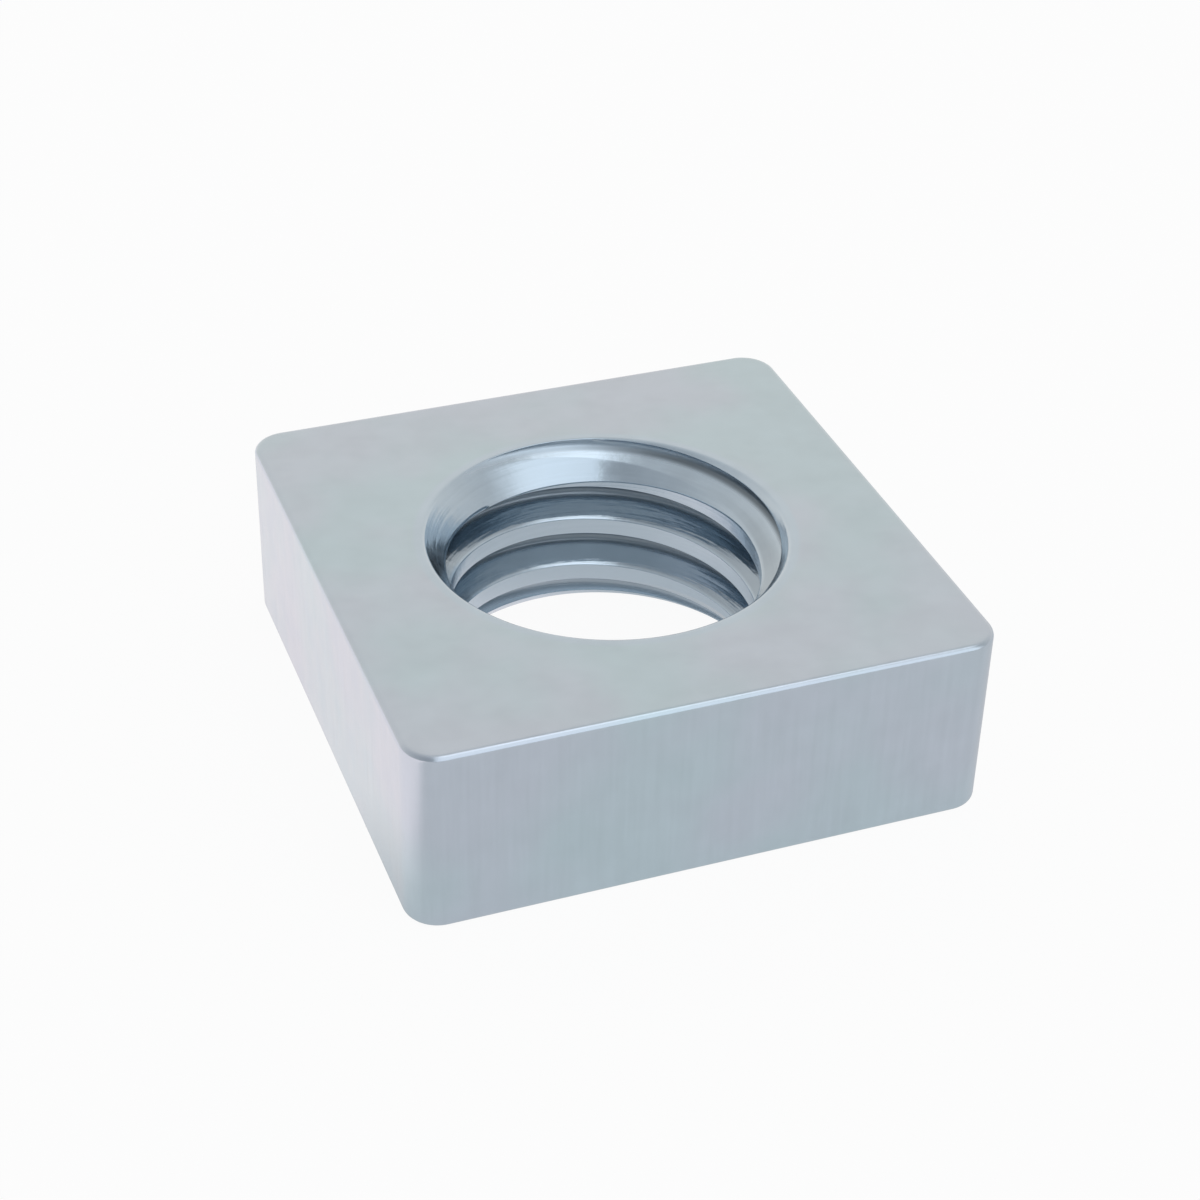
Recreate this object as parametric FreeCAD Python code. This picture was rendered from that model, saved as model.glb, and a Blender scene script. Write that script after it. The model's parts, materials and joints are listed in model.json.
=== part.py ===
import FreeCAD, Part
import math
import os

# A thin square nut for a metric screw, one solid piece: sheared from steel strip, pierced,
# countersunk on both faces, tapped, tumbled and zinc plated.
# Lengths are in millimetres. The origin is on the thread's axis in the plane of the
# bottom bearing face, +Z points up through the hole, and the sides face along X and Y.

# The blank, the rounding of its upright corners and of its rims
ACROSS_FLATS = 8.0
THICKNESS = 2.7
CORNER_RADIUS = 0.47
RIM_RADIUS = 0.08

# The pierced hole, and the countersink at each end with its mouth and its throat rounded
BORE_DIAMETER = 4.26
MOUTH_DIAMETER = 4.97
COUNTERSINK_ANGLE = 70.0
MOUTH_EDGE_RADIUS = 0.08
THROAT_RADIUS = 0.05

# The thread, right hand, and the height of the middle of its crest where it crosses +X
MAJOR_DIAMETER = 5.0
PITCH = 0.8
FLANK_ANGLE = 30.0
ROOT_FLAT = 0.125
CREST_HEIGHT = 1.265

# How far the cutting shapes run past what they cut
OVERRUN = 0.1

# The hole's circle is drawn in this many arcs, and each turn of the thread in this many stretches
BORE_ARCS = 8
TURN_STRETCHES = 2

UP = FreeCAD.Vector(0, 0, 1)
ORIGIN = FreeCAD.Vector(0, 0, 0)
BORE_RADIUS = BORE_DIAMETER / 2
MOUTH_RADIUS = MOUTH_DIAMETER / 2
MAJOR_RADIUS = MAJOR_DIAMETER / 2


def blank():
    """The square of strip, its upright corners rounded and its rim edges broken."""
    corner = FreeCAD.Vector(-ACROSS_FLATS / 2, -ACROSS_FLATS / 2, 0)
    square = Part.makeBox(ACROSS_FLATS, ACROSS_FLATS, THICKNESS, corner)
    uprights = [e for e in square.Edges if e.BoundBox.ZLength > THICKNESS / 2]
    rounded = square.makeFillet(CORNER_RADIUS, uprights)
    rims = [e for e in rounded.Edges if e.BoundBox.ZLength < THICKNESS / 2]
    return rounded.makeFillet(RIM_RADIUS, rims)


def bore():
    """The pierced hole, its circle divided into equal arcs."""

    def on_circle(arc):
        angle = 2 * math.pi * arc / BORE_ARCS
        return FreeCAD.Vector(BORE_RADIUS * math.cos(angle), BORE_RADIUS * math.sin(angle), -OVERRUN)

    arcs = [Part.Arc(on_circle(n), on_circle(n + 0.5), on_circle(n + 1)) for n in range(BORE_ARCS)]
    outline = Part.Wire([arc.toShape() for arc in arcs])
    return Part.Face(outline).extrude(UP * (THICKNESS + 2 * OVERRUN))


def countersink(face_height, inward):
    """A cone with its mouth in a bearing face; inward is 1 going up from it, -1 going down."""
    slope = math.tan(math.radians(COUNTERSINK_ANGLE / 2))
    base_radius = MOUTH_RADIUS + OVERRUN * slope
    base = FreeCAD.Vector(0, 0, face_height - inward * OVERRUN)
    return Part.makeCone(base_radius, 0, base_radius / slope, base, UP * inward)


def pierced_blank():
    """The blank with its hole, countersunk from both faces, each mouth and throat rounded."""
    nut = blank().cut(bore())
    nut = nut.cut(countersink(0, 1)).cut(countersink(THICKNESS, -1))
    for edge_radius, rounding in ((BORE_RADIUS, THROAT_RADIUS), (MOUTH_RADIUS, MOUTH_EDGE_RADIUS)):
        circles = [e for e in nut.Edges if isinstance(e.Curve, Part.Circle)]
        edges = [e for e in circles if abs(e.Curve.Radius - edge_radius) < OVERRUN]
        nut = nut.makeFillet(rounding, edges)
    return nut


def thread_groove():
    """The groove a tap leaves: its profile carried up a helix from below the nut to above it."""
    widening = math.tan(math.radians(FLANK_ANGLE))
    inner_radius = BORE_RADIUS - OVERRUN
    root_half = ROOT_FLAT / 2
    inner_half = root_half + (MAJOR_RADIUS - inner_radius) * widening
    corners = [
        (inner_radius, -inner_half),
        (MAJOR_RADIUS, -root_half),
        (MAJOR_RADIUS, root_half),
        (inner_radius, inner_half),
    ]
    turns_below = math.ceil(CREST_HEIGHT / PITCH) + 1
    start = CREST_HEIGHT - PITCH / 2 - turns_below * PITCH
    rise = PITCH / TURN_STRETCHES
    stretches = math.ceil((THICKNESS + PITCH - start) / rise)

    def carry(shape, stretch):
        shape.rotate(ORIGIN, UP, 360 * stretch / TURN_STRETCHES)
        shape.translate(UP * (start + rise * stretch))
        return shape

    def line(corner, stretch):
        radius, offset = corner
        helix = Part.makeHelix(PITCH, rise, radius)
        helix.translate(UP * offset)
        return carry(helix, stretch).Edges[0]

    def end(stretch):
        points = [FreeCAD.Vector(radius, 0, offset) for radius, offset in corners]
        return carry(Part.Face(Part.makePolygon(points + points[:1])), stretch)

    faces = [end(0), end(stretches)]
    for stretch in range(stretches):
        lines = [line(corner, stretch) for corner in corners]
        for first, second in zip(lines, lines[1:] + lines[:1]):
            faces.append(Part.makeRuledSurface(first, second))
    shell = Part.makeShell(faces)
    shell.sewShape()
    groove = Part.makeSolid(shell)
    if groove.Volume < 0:
        groove.reverse()
    return groove


def square_nut():
    """The pierced blank after tapping."""
    return pierced_blank().cut(thread_groove()).Solids[0]


os.makedirs("parts", exist_ok=True)
square_nut().exportStep("parts/square_nut.step")
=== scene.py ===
import json
import math

import bpy
import numpy as np
from mathutils import Matrix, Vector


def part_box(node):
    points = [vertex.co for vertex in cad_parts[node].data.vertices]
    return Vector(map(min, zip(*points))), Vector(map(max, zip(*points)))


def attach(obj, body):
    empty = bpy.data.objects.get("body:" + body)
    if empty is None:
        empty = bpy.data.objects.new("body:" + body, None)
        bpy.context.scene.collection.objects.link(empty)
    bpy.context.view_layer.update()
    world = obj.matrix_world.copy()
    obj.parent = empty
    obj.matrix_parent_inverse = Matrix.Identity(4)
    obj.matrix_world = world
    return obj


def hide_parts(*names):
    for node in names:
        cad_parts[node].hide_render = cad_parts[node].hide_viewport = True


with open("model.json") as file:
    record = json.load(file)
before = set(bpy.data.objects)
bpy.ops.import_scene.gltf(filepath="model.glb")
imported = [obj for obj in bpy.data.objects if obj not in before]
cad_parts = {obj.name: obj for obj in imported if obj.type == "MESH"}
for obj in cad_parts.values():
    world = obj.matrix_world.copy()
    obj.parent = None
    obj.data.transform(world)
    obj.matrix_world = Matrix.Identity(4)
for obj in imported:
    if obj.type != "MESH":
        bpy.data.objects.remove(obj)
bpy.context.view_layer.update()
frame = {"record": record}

# The nut's hole: pierced through steel strip, countersunk from both faces, then tapped with a
# right-hand metric thread. The tap leaves a helical groove whose turns run out in the
# countersinks; tumbling breaks the edges of its crests.

MM = 0.001

_, nut_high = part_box("square_nut")
half_side = nut_high.x
thickness = nut_high.z
mounts = {mount["name"]: mount for mount in frame["record"]["mounts"]}
bore_radius = mounts["thread"]["dims"]["r_mm"] * MM

MOUTH_RADIUS = 2.485 * MM
MOUTH_EDGE_RADIUS = 0.08 * MM
COUNTERSINK_ANGLE = math.radians(70)
THROAT_RADIUS = 0.05 * MM

MAJOR_RADIUS = 2.5 * MM
PITCH = 0.8 * MM
FLANK_SLOPE = math.tan(math.radians(30))
ROOT_HALF_WIDTH = 0.0625 * MM
ROOT_EDGE_RADIUS = 0.08 * MM
CREST_EDGE_RADIUS = 0.01 * MM
CREST_HEIGHT = 1.265 * MM
GROOVE_LIP = 0.05 * MM

# Columns of the mesh round the nut
SIDE_COLUMNS = 56
CORNER_COLUMNS = 16
COLUMNS = 4 * (SIDE_COLUMNS + CORNER_COLUMNS)

# Points along the turned outline, and rows of the mesh between its bends and the groove's edges
ARC_POINTS = 16
CONE_POINTS = 24
MOUTH_ROWS = [5]
WALL_ROWS = [4, 4, 4, 12, 4, 4, 4]
FLANK_ROWS = [7]
ROOT_ROWS = [3]
ROW_CROWDING = 0.95


def turned_outline():
    """The hole without its thread, as radius and height from the bottom face to the top one.

    Below mid height the height is the depth from the bottom face: the mouth's arc, the cone,
    whose radius is the mouth's less the depth times the tangent of half its angle, the
    throat's arc and the straight bore. Above mid height the same outline comes back down
    from the top face. The third result is where in it the arcs end.
    """
    half_angle = COUNTERSINK_ANGLE / 2
    mouth_turn = math.pi / 2 - half_angle
    mouth_arc = np.linspace(0, mouth_turn, ARC_POINTS)
    mouth_r = MOUTH_RADIUS + MOUTH_EDGE_RADIUS * (math.tan(mouth_turn / 2) - np.sin(mouth_arc))
    mouth_d = MOUTH_EDGE_RADIUS * (1 - np.cos(mouth_arc))
    throat_arc = np.linspace(half_angle, 0, ARC_POINTS)
    throat_depth = (MOUTH_RADIUS - bore_radius) / math.tan(half_angle)
    throat_r = bore_radius + THROAT_RADIUS * (1 - np.cos(throat_arc))
    throat_d = throat_depth + THROAT_RADIUS * (math.tan(half_angle / 2) - np.sin(throat_arc))
    cone = np.linspace(0, 1, CONE_POINTS)[1:-1]
    cone_r = mouth_r[-1] + (throat_r[0] - mouth_r[-1]) * cone
    cone_d = mouth_d[-1] + (throat_d[0] - mouth_d[-1]) * cone
    radius = np.concatenate([mouth_r, cone_r, throat_r])
    depth = np.concatenate([mouth_d, cone_d, throat_d])
    both_radius = np.concatenate([radius, radius[::-1]])
    both_height = np.concatenate([depth, thickness - depth[::-1]])
    bends = np.array([len(mouth_r) - 1, len(radius) - len(throat_r), len(radius) - 1])
    return both_radius, both_height, np.concatenate([bends, len(both_radius) - 1 - bends[::-1]])


def soft_max(first, second, width):
    """The larger of two, their corner eased over a width.

    To it is added the square of what the width exceeds their gap by, over four widths.
    """
    overlap = np.maximum(width - np.abs(first - second), 0)
    return np.maximum(first, second) + overlap**2 / (4 * width)


def groove_radius(offset):
    """How far out the groove reaches at a height from its middle.

    It is the major radius, less the height past the root flat over the flank's slope.
    """
    flank = MAJOR_RADIUS - (np.abs(offset) - ROOT_HALF_WIDTH) / FLANK_SLOPE
    return -soft_max(-flank, np.full_like(flank, -MAJOR_RADIUS), ROOT_EDGE_RADIUS)


def hole_surface():
    """Rows of points up the hole, each row once round it.

    At each angle the wall's radius is the larger of the turned outline's and the groove's,
    and the groove climbs one pitch a turn. Rows lie along the edges of the groove and the
    bends of the outline, so each is a line of the mesh, and where a turn runs out its rows
    close up into one. Between two such lines the rows crowd towards both: a row's share is
    its even share, less the crowding times the sine of that share of a turn over the turn.
    The second result is 1 where the groove is at least its lip's depth into the outline.
    """
    outline_r, outline_z, bends = turned_outline()
    run = np.concatenate([[0], np.cumsum(np.hypot(np.diff(outline_r), np.diff(outline_z)))])
    inside = outline_r < MAJOR_RADIUS
    cut_z = outline_z[inside]
    groove_half = ROOT_HALF_WIDTH + (MAJOR_RADIUS - outline_r[inside]) * FLANK_SLOPE
    lowest, highest = cut_z[0], cut_z[-1]

    angle = np.linspace(0, 2 * math.pi, COLUMNS + 1)
    turns_below = math.ceil((CREST_HEIGHT - PITCH / 2) / PITCH)
    first = CREST_HEIGHT - PITCH / 2 - turns_below * PITCH
    turns = math.ceil((thickness + ROOT_HALF_WIDTH - first) / PITCH)
    middle = first + PITCH * (np.arange(turns)[:, None] + angle / (2 * math.pi))
    lower = np.interp(middle, cut_z + groove_half, cut_z)
    upper = np.interp(middle, cut_z - groove_half, cut_z)
    root_lower = np.clip(middle - ROOT_HALF_WIDTH, lower, upper)
    root_upper = np.clip(middle + ROOT_HALF_WIDTH, lower, upper)

    edges = np.stack([lower, root_lower, root_upper, upper], axis=1).reshape(-1, COLUMNS + 1)
    ends = [np.full((1, COLUMNS + 1), z) for z in (0, lowest, highest, thickness)]
    edges = np.interp(np.concatenate([*ends[:2], edges, *ends[2:]]), outline_z, run)
    one_turn = [FLANK_ROWS, ROOT_ROWS, FLANK_ROWS, WALL_ROWS]
    steps = [MOUTH_ROWS, WALL_ROWS, *one_turn * turns, MOUTH_ROWS]
    rows = []
    for start, end, counts in zip(edges, edges[1:], steps):
        inner = [np.clip(run[bend], start, end) for bend in bends[:len(counts) - 1]]
        stops = [start, *inner, end]
        for low, high, count in zip(stops, stops[1:], counts):
            share = np.arange(count)[:, None] / count
            share = share - np.sin(2 * math.pi * share) / (2 * math.pi) * ROW_CROWDING
            rows.append(low + (high - low) * share)
    along = np.concatenate(rows + [edges[-1:]])

    height = np.interp(along, run, outline_z)
    plain = np.interp(along, run, outline_r)
    climb = height - first - PITCH * angle / (2 * math.pi)
    offset = (climb + PITCH / 2) % PITCH - PITCH / 2
    radius = soft_max(plain, groove_radius(offset), CREST_EDGE_RADIUS)
    points = np.stack([radius * np.cos(angle), radius * np.sin(angle), height], axis=-1)
    return points, np.clip((radius - plain) / GROOVE_LIP, 0, 1)


# The nut's outside: a square sheared from steel strip as thick as the nut, its upright corners
# rounded by the shear's tooling and its rims by tumbling.

CORNER_RADIUS = 0.47 * MM
RIM_RADIUS = 0.08 * MM
RIM_POINTS = 9
FACE_SHARES = (0.02, 0.1, 0.3, 0.5, 0.7, 0.9, 0.98)
SIDE_SHARES = (0.02, 0.2, 0.5)

# Points that round to the same place on this grid become one
MERGE_DISTANCE = 1e-6 * MM


def square_outline():
    """The outline and its outward direction: quarter arcs at the corners joined by straight sides.

    Along a quadrant the direction stays, turns a quarter over the corner's columns, and stays;
    a point is its corner's centre plus the radius times the direction, or slides along the side.
    """
    reach = half_side - CORNER_RADIUS
    half = SIDE_COLUMNS // 2
    turn = np.radians(np.linspace(0, 90, CORNER_COLUMNS + 1))
    slide = np.linspace(0, reach, half + 1)[:-1]
    flat = np.zeros(half)
    across = np.concatenate([flat, turn, flat[1:] + math.pi / 2])
    base_x = np.concatenate([flat + reach, np.full(CORNER_COLUMNS + 1, reach), slide[:0:-1]])
    base_y = np.concatenate([slide, np.full(CORNER_COLUMNS + 1, reach), flat[1:] + reach])
    quadrant = np.arange(4) * math.pi / 2
    facing = (quadrant[:, None] + across).ravel()
    base = ((base_x + 1j * base_y) * np.exp(1j * quadrant)[:, None]).ravel()
    direction = np.stack([np.cos(facing), np.sin(facing)], axis=-1)
    points = np.stack([base.real, base.imag], axis=-1) + CORNER_RADIUS * direction
    closing = np.arange(COLUMNS + 1) % COLUMNS
    return points[closing], direction[closing]


def mirrored(rows):
    """The rows on the other side of mid height, from the last: the thickness less each height."""
    return rows[::-1] * [1, 1, -1] + [0, 0, thickness]


def outside_surface(top_mouth, bottom_mouth):
    """Rows from the top mouth over the face, the rim, the side and the other rim to the bottom mouth.

    A face's point is the mouth's and the outline's in a share from 0 to 1, and a rim's is the
    outline drawn in by the rim's radius, plus that radius times its arc's sine and cosine.
    """
    points, direction = square_outline()
    share = np.array(FACE_SHARES)[:, None, None]
    arc = np.radians(np.linspace(0, 90, RIM_POINTS))[:, None, None]
    drawn_in = points - RIM_RADIUS * direction
    round_xy = drawn_in + RIM_RADIUS * direction * np.sin(arc)
    round_z = thickness - RIM_RADIUS * (1 - np.cos(arc))
    rim = np.concatenate([round_xy, np.broadcast_to(round_z, (RIM_POINTS, COLUMNS + 1, 1))], axis=-1)
    down = (thickness - 2 * RIM_RADIUS) * np.array(SIDE_SHARES)[:, None, None]
    side_xy = np.broadcast_to(points, (len(SIDE_SHARES), COLUMNS + 1, 2))
    side_z = np.broadcast_to(thickness - RIM_RADIUS - down, (len(SIDE_SHARES), COLUMNS + 1, 1))
    side = np.concatenate([side_xy, side_z], axis=-1)
    upper_face = top_mouth + (rim[0] - top_mouth) * share
    lower_rim = mirrored(rim)
    lower_face = bottom_mouth + (lower_rim[-1] - bottom_mouth) * share[::-1]
    return np.concatenate([upper_face, rim, side, mirrored(side[:-1]), lower_rim, lower_face])


def closed_mesh(name, rows, in_groove):
    """A mesh from rows of points that close on themselves both ways; points that meet become one.

    Each four neighbours make two triangles, and one whose corners have met is left out. Each
    point also keeps how far it is in the groove, as an attribute.
    """
    keys = np.round(rows.reshape(-1, 3) / MERGE_DISTANCE).astype(np.int64)
    _, first, merged = np.unique(keys, axis=0, return_index=True, return_inverse=True)
    index = merged.reshape(rows.shape[:2])
    index = np.concatenate([index, index[:1]])
    row, after = index[:-1], index[1:]
    quads = np.stack([row[:, :-1], row[:, 1:], after[:, 1:], after[:, :-1]], axis=-1).reshape(-1, 4)
    triangles = np.concatenate([quads[:, [0, 2, 1]], quads[:, [0, 3, 2]]])
    a, b, c = triangles.T
    triangles = triangles[(a != b) & (b != c) & (c != a)]
    mesh = bpy.data.meshes.new(name)
    mesh.from_pydata(rows.reshape(-1, 3)[first].tolist(), [], triangles.tolist())
    mesh.validate()
    mesh.shade_smooth()
    depth = mesh.attributes.new("in_groove", "FLOAT", "POINT")
    depth.data.foreach_set("value", in_groove.ravel()[first])
    return mesh


hole, in_groove = hole_surface()
outside = outside_surface(hole[-1], hole[0])
in_groove = np.concatenate([in_groove, np.zeros(outside.shape[:2])])
nut_mesh = closed_mesh("nut", np.concatenate([hole, outside]), in_groove)
nut = bpy.data.objects.new("nut", nut_mesh)
bpy.context.scene.collection.objects.link(nut)
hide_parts("square_nut")
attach(nut, "root")

# The nut's plating: bright zinc with a clear blue passivation, faintly clouded green and pink. It is
# glossier in the thread and dull in its root; painted shade darkens the thread, and its root darker
# still, most under the upper mouth. In it show the shear's upright marks on the sides and the turning
# rings of the countersinks.

PLATING_COLOUR = (0.65, 0.75, 0.82)
CLOUD_TINTS = ((0.975, 1.01, 0.995), (1.03, 0.985, 1.005))
HOLE_TINT = (1.0, 1.01, 1.03)
HOLE_EDGE = (MAJOR_RADIUS + MOUTH_EDGE_RADIUS, MAJOR_RADIUS + 2 * MOUTH_EDGE_RADIUS)
CLOUD_MIDDLE = 0.5
CLOUD_SIZE = 2.6 * MM
CLOUD_EDGES = (0.35, 0.65)
FLECK_SIZE = 0.5 * MM
FLECK_EDGES = (0.2, 0.8)
FLECK_SHADES = (0.96, 1.03)

# Painted shade in the thread and its root: what each keeps of the colour, and where each starts
THREAD_SHADE_SHARE = 0.76
THREAD_START = (0.3 * MM, 0.5 * MM)
ROOT_SHADE_SHARES = (0.36, 0.78)
ROOT_SHADE_DEPTHS = (0.3 * MM, 0.6 * MM)
ROOT_SHADE_START = (0.09 * MM, 0.21 * MM)
ROOT_EDGE = (MAJOR_RADIUS - 0.1 * MM, MAJOR_RADIUS - 0.02 * MM)

PLATING_ROUGHNESS = (0.17, 0.27)
POLISH_EDGES = (0.3, 0.7)
THREAD_ROUGHNESS = 0.13
ROOT_ROUGHNESS = 0.42

MARK_SPACING = 0.09 * MM
MARK_LENGTH = 1.6 * MM
RING_SPACING = 0.05 * MM
MARK_HEIGHT = 0.003 * MM
MARK_SHADE = 0.08
PEBBLE_SIZE = 0.16 * MM
PEBBLE_HEIGHT = 0.0024 * MM


def node(tree, kind, inputs=(), **settings):
    """A node with its settings, and for each input a value or another node's output."""
    made = tree.nodes.new(kind)
    for name, value in settings.items():
        setattr(made, name, value)
    for name, value in dict(inputs).items():
        if isinstance(value, bpy.types.NodeSocket):
            tree.links.new(value, made.inputs[name])
        else:
            made.inputs[name].default_value = value
    return made


def math_node(tree, operation, *values):
    """The result of an operation on numbers, in the order that Blender takes them."""
    return node(tree, "ShaderNodeMath", dict(enumerate(values)), operation=operation).outputs[0]


def vector_node(tree, operation, *values):
    """The result of an operation on vectors: a number for a dot product or a length."""
    made = node(tree, "ShaderNodeVectorMath", dict(enumerate(values)), operation=operation)
    return made.outputs["Value" if operation in ("DOT_PRODUCT", "LENGTH") else "Vector"]


def smooth_step(tree, value, start, end, low=0.0, high=1.0):
    """From low to high as the value goes from start to end, with no corner at either."""
    inputs = {"Value": value, "From Min": start, "From Max": end, "To Min": low, "To Max": high}
    step = node(tree, "ShaderNodeMapRange", inputs, interpolation_type="SMOOTHSTEP")
    return step.outputs["Result"]


def cloud(tree, place, size, detail=2.0):
    """Noise from 0 to 1 whose lumps are about the size given, with finer ones for more detail."""
    inputs = {"Vector": place, "Scale": 1 / size, "Detail": detail}
    return node(tree, "ShaderNodeTexNoise", inputs).outputs["Fac"]


def mix_value(tree, factor, first, second):
    """The first number where the factor is 0, the second where it is 1, in proportion between."""
    inputs = {"Factor": factor, "A": first, "B": second}
    return node(tree, "ShaderNodeMix", inputs).outputs["Result"]


def mix_colour(tree, factor, first, second, blend="MIX"):
    """The first colour where the factor is 0; where it is 1, what the blend makes of the two."""
    made = node(tree, "ShaderNodeMix", data_type="RGBA", blend_type=blend)
    for socket, value in (("Factor_Float", factor), ("A_Color", first), ("B_Color", second)):
        target = next(item for item in made.inputs if item.identifier == socket)
        if isinstance(value, bpy.types.NodeSocket):
            tree.links.new(value, target)
        else:
            target.default_value = value if socket == "Factor_Float" else (*value, 1)
    return next(item for item in made.outputs if item.identifier == "Result_Color")


def plating():
    """Zinc whose colour, gloss and relief follow the place on the nut and the depth in the thread.

    The colour is the plating's times its tint, times the flecks and marks, times the painted shade
    that darkens the thread and its root. The relief is the pebbles plus the marks.
    """
    material = bpy.data.materials.new("zinc plating")
    material.use_nodes = True
    tree = material.node_tree
    shader = tree.nodes["Principled BSDF"]
    shader.inputs["Metallic"].default_value = 1

    place = node(tree, "ShaderNodeTexCoord").outputs["Object"]
    height = node(tree, "ShaderNodeSeparateXYZ", {"Vector": place}).outputs["Z"]
    radius = vector_node(tree, "LENGTH", vector_node(tree, "MULTIPLY", place, (1, 1, 0)))
    in_hole = smooth_step(tree, radius, *HOLE_EDGE, 1, 0)
    below_top = math_node(tree, "SUBTRACT", thickness, height)
    below_face = math_node(tree, "MINIMUM", height, below_top)
    groove = node(tree, "ShaderNodeAttribute", attribute_name="in_groove").outputs["Fac"]
    in_thread = math_node(tree, "MULTIPLY", groove, smooth_step(tree, below_face, *THREAD_START))
    root = math_node(tree, "MULTIPLY", groove, smooth_step(tree, radius, *ROOT_EDGE))
    # Where the root's painted shade applies: past its start below either face
    root_shade_mask = math_node(tree, "MULTIPLY", root, smooth_step(tree, below_face, *ROOT_SHADE_START))

    upright = vector_node(tree, "MULTIPLY", place, (1, 1, MARK_SPACING / MARK_LENGTH))
    marks = cloud(tree, upright, MARK_SPACING, detail=3)
    turned = node(tree, "ShaderNodeCombineXYZ", {"X": radius, "Z": height}).outputs["Vector"]
    rings = cloud(tree, turned, RING_SPACING)
    marks = math_node(tree, "SUBTRACT", mix_value(tree, in_hole, marks, rings), CLOUD_MIDDLE)
    marks = math_node(tree, "MULTIPLY", marks, smooth_step(tree, below_face, 0, RIM_RADIUS))

    clouds = smooth_step(tree, cloud(tree, place, CLOUD_SIZE), *CLOUD_EDGES)
    tint = mix_colour(tree, in_hole, mix_colour(tree, clouds, *CLOUD_TINTS), HOLE_TINT)
    flecks = smooth_step(tree, cloud(tree, place, FLECK_SIZE, detail=4), *FLECK_EDGES, *FLECK_SHADES)
    streaks = math_node(tree, "MULTIPLY_ADD", marks, MARK_SHADE, flecks)
    # Painted shade: the thread keeps less of the colour past its start below either face
    thread_shade = smooth_step(tree, in_thread, 0, 1, 1, THREAD_SHADE_SHARE)
    # Painted shade in the root: least of the colour just under the upper mouth, more deeper down
    root_shade = smooth_step(tree, below_top, *ROOT_SHADE_DEPTHS, *ROOT_SHADE_SHARES)
    root_shade = mix_value(tree, root_shade_mask, 1, root_shade)
    # The painted shade of the thread and its root together
    painted_shade = math_node(tree, "MULTIPLY", thread_shade, root_shade)
    shade = math_node(tree, "MULTIPLY", streaks, painted_shade)
    colour = mix_colour(tree, 1, tint, PLATING_COLOUR, "MULTIPLY")
    colour = mix_colour(tree, 1, colour, shade, "MULTIPLY")
    tree.links.new(colour, shader.inputs["Base Color"])

    polish = cloud(tree, place, FLECK_SIZE, detail=3)
    polish = smooth_step(tree, polish, *POLISH_EDGES, *PLATING_ROUGHNESS)
    gloss = mix_value(tree, in_thread, polish, THREAD_ROUGHNESS)
    gloss = mix_value(tree, root, gloss, ROOT_ROUGHNESS)
    tree.links.new(gloss, shader.inputs["Roughness"])

    pebbles = cloud(tree, place, PEBBLE_SIZE, detail=3)
    relief = math_node(tree, "MULTIPLY_ADD", marks, MARK_HEIGHT / PEBBLE_HEIGHT, pebbles)
    bump = node(tree, "ShaderNodeBump", {"Height": relief, "Distance": PEBBLE_HEIGHT, "Strength": 1})
    tree.links.new(bump.outputs["Normal"], shader.inputs["Normal"])
    return material


nut_mesh.materials.append(plating())

# The studio's table: plain, matt and white. Where the nut mirrors it, painted light and shade make it
# a little darker in front of the nut than behind it; it is plain white where the camera sees it.

TABLE_REACH = 1.0
TABLE_COLOUR = (0.9, 0.9, 0.9, 1)
TABLE_SEEN_SHARE = 0.94
TABLE_MIRRORED_SHARE = 0.8
# Painted shade in front of the nut and painted light behind it, seen only in reflections
TABLE_FRONT_PAINTED_SHADE = (0.645, 0.645, 0.655)
TABLE_BACK_PAINTED_LIGHT = (1.05, 0.965, 0.965)
TABLE_BACK = (-0.75, 0.66, 0)
TABLE_GLOW_RUN = (0.2 * MM, 2.8 * MM)
SEEN_WHITE = (1, 1, 1)


def seen_share(tree, camera_share, mirrored_share):
    """A factor that is camera_share for what the camera sees and mirrored_share in reflections."""
    path = node(tree, "ShaderNodeLightPath").outputs
    seen = math_node(tree, "MULTIPLY", path["Is Camera Ray"], camera_share)
    return math_node(tree, "MULTIPLY_ADD", path["Is Glossy Ray"], mirrored_share, seen)


def white_table():
    """A matt white, which keeps the nut's shadow, under shares of white and of a glow.

    The glow, which only reflections see, is painted light and shade: it goes from the front's darker
    level to the back's brighter, warmer one with the place's distance towards the back.
    """
    material = bpy.data.materials.new("white table")
    material.use_nodes = True
    tree = material.node_tree
    tree.nodes.clear()
    place = node(tree, "ShaderNodeTexCoord").outputs["Object"]
    toward_back = vector_node(tree, "DOT_PRODUCT", place, TABLE_BACK)
    back = smooth_step(tree, toward_back, *TABLE_GLOW_RUN)
    glow = mix_colour(tree, back, TABLE_FRONT_PAINTED_SHADE, TABLE_BACK_PAINTED_LIGHT)
    seen = node(tree, "ShaderNodeLightPath").outputs["Is Camera Ray"]
    white = node(tree, "ShaderNodeEmission", {"Color": mix_colour(tree, seen, glow, SEEN_WHITE)})
    matt = node(tree, "ShaderNodeBsdfDiffuse", {"Color": TABLE_COLOUR})
    share = seen_share(tree, TABLE_SEEN_SHARE, TABLE_MIRRORED_SHARE)
    both = node(tree, "ShaderNodeMixShader", {0: share, 1: matt.outputs[0], 2: white.outputs[0]})
    node(tree, "ShaderNodeOutputMaterial", {"Surface": both.outputs[0]})
    return material


table_mesh = bpy.data.meshes.new("table")
corners = TABLE_REACH * np.array([(-1, -1, 0), (1, -1, 0), (1, 1, 0), (-1, 1, 0)])
table_mesh.from_pydata(corners.tolist(), [], [(0, 1, 2, 3)])
table_mesh.materials.append(white_table())
table = bpy.data.objects.new("table", table_mesh)
bpy.context.scene.collection.objects.link(table)

# The studio's room: soft white walls, a little brighter low down and behind, with a large soft
# window in front and to the right and a small lamp almost overhead.

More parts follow.
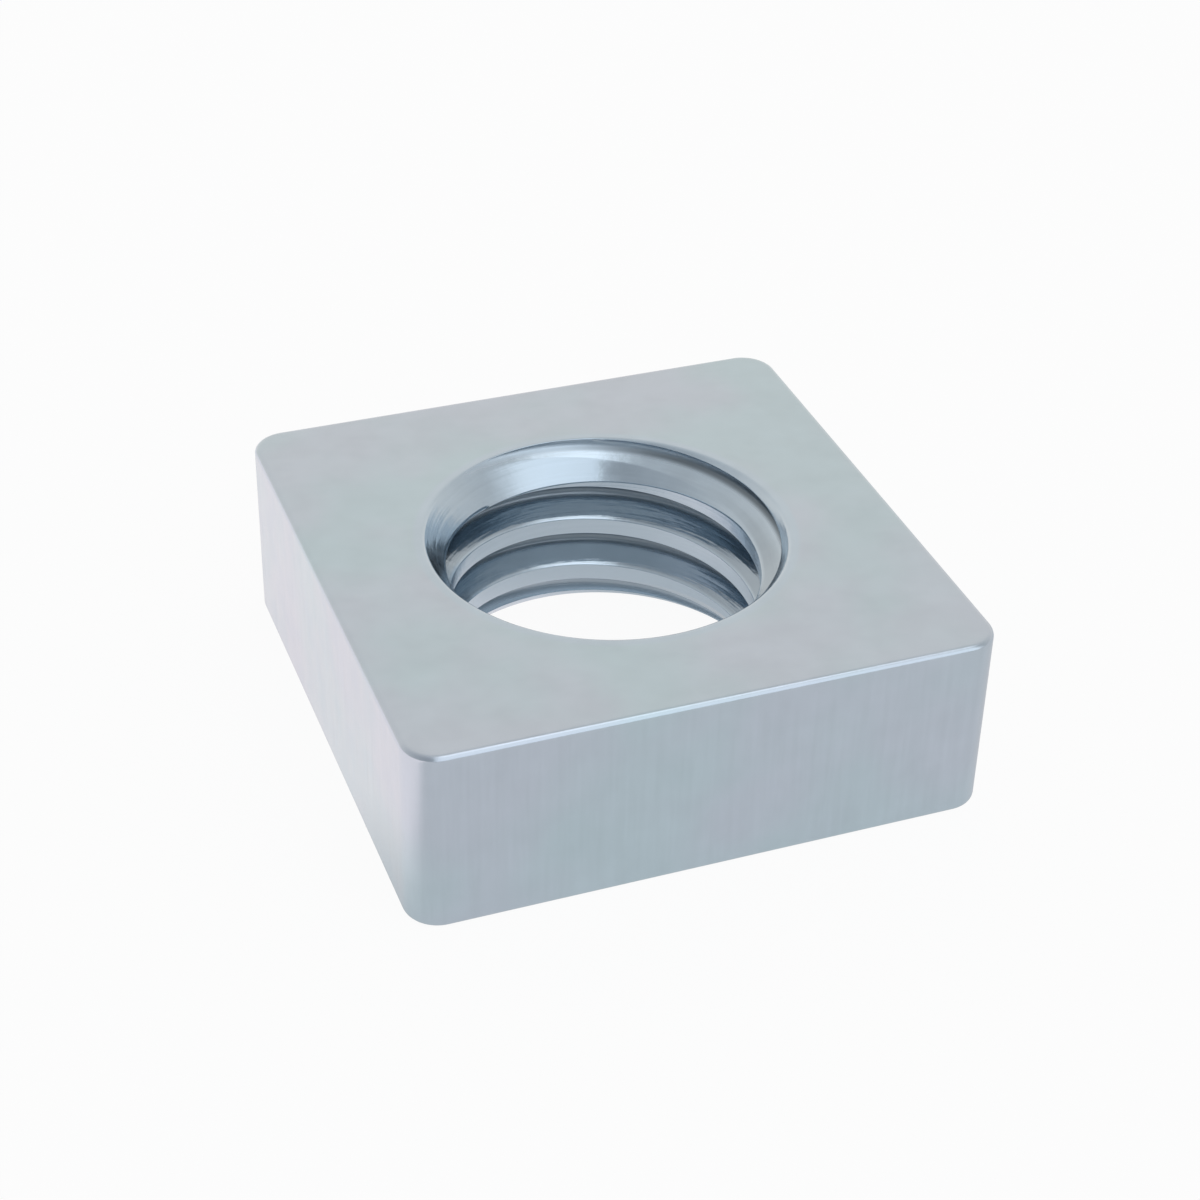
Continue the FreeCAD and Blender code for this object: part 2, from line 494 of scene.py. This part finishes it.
ROOM_SEEN = 0.967
ROOM_LEVEL = 0.603
ROOM_SLOPE = 0.22
ROOM_RISE = (0.2, 0.97, -0.6)
ROOM_TINTS = ((0.944, 0.991, 1.047), (1.065, 1.002, 0.937))
TINT_SLOPE = 0.5
TINT_MIDDLE = 0.5

# The window's two upright edges, each as its direction round from +X and its softness
WINDOW_LEVEL = 0.61
WINDOW_LEFT = (math.radians(-107), 0.04)
WINDOW_RIGHT = (math.radians(-33), 0.3)
WINDOW_FOOT = (0.0, 0.15)

# The lamp's edge, as the cosines of the angles from it where its light starts and is whole
LAMP_LEVEL = 0.65
LAMP_TOWARD = (0.272, -0.1, 0.957)
LAMP_EDGE = (math.cos(math.radians(18)), math.cos(math.radians(8)))


def edge_plane(turn, quarter):
    """The direction a quarter turn from an edge of the window, towards its inside."""
    return (math.cos(turn + quarter), math.sin(turn + quarter), 0)


def soft_room():
    """Light by direction: an even rise, plus the window's level, plus the lamp's.

    The rise is the slope times the direction's part along it, and that part tints it too. The
    window's level is the product of smooth steps at its foot and its two upright edges, and
    the lamp's is a smooth step of the cosine of the angle from it.
    """
    world = bpy.data.worlds.new("soft room")
    world.use_nodes = True
    tree = world.node_tree
    toward = node(tree, "ShaderNodeTexCoord").outputs["Generated"]
    height = node(tree, "ShaderNodeSeparateXYZ", {"Vector": toward}).outputs["Z"]
    along_rise = vector_node(tree, "DOT_PRODUCT", toward, ROOM_RISE)
    level = math_node(tree, "MULTIPLY_ADD", along_rise, ROOM_SLOPE, ROOM_LEVEL)
    window = smooth_step(tree, height, *WINDOW_FOOT, 0, WINDOW_LEVEL)
    for (turn, softness), quarter in ((WINDOW_LEFT, math.pi / 2), (WINDOW_RIGHT, -math.pi / 2)):
        inside = vector_node(tree, "DOT_PRODUCT", toward, edge_plane(turn, quarter))
        edge = smooth_step(tree, inside, -softness / 2, softness)
        window = math_node(tree, "MULTIPLY", window, edge)
    near_lamp = vector_node(tree, "DOT_PRODUCT", toward, LAMP_TOWARD)
    lamp = smooth_step(tree, near_lamp, *LAMP_EDGE, 0, LAMP_LEVEL)
    strength = math_node(tree, "ADD", math_node(tree, "ADD", level, window), lamp)
    warmth = math_node(tree, "MULTIPLY_ADD", along_rise, TINT_SLOPE, TINT_MIDDLE)
    tint = mix_colour(tree, warmth, *ROOM_TINTS)
    room = node(tree, "ShaderNodeBackground", {"Color": tint, "Strength": strength})
    white = tree.nodes["Background"]
    white.inputs["Color"].default_value = (*SEEN_WHITE, 1)
    white.inputs["Strength"].default_value = ROOM_SEEN
    share = seen_share(tree, 1, 0)
    both = node(tree, "ShaderNodeMixShader", {0: share, 1: room.outputs[0], 2: white.outputs[0]})
    tree.links.new(both.outputs[0], tree.nodes["World Output"].inputs["Surface"])
    return world


bpy.context.scene.world = soft_room()
bpy.context.scene.view_settings.view_transform = "Standard"

# The camera: at the photograph's angle, in front of the nut, a little to its left and above it,
# with a lens that is rather long.

LENS = 75.53
SENSOR_WIDTH = 36
CAMERA_PLACE = (-10.4108 * MM, -26.6905 * MM, 21.3837 * MM)
CAMERA_RIGHT = (0.93764, -0.34690, 0.02206)
CAMERA_DOWN = (-0.18028, -0.53957, -0.82241)
CAMERA_FORWARD = (0.29720, 0.76715, -0.56846)

lens = bpy.data.cameras.new("camera")
lens.sensor_width = SENSOR_WIDTH
lens.lens = LENS
lens.clip_start = MM
camera = bpy.data.objects.new("camera", lens)
axes = np.array([CAMERA_RIGHT, CAMERA_DOWN, CAMERA_FORWARD]).T * [1, -1, -1]
camera.matrix_world = Matrix.Translation(CAMERA_PLACE) @ Matrix(axes.tolist()).to_4x4()
bpy.context.scene.collection.objects.link(camera)
bpy.context.scene.camera = camera
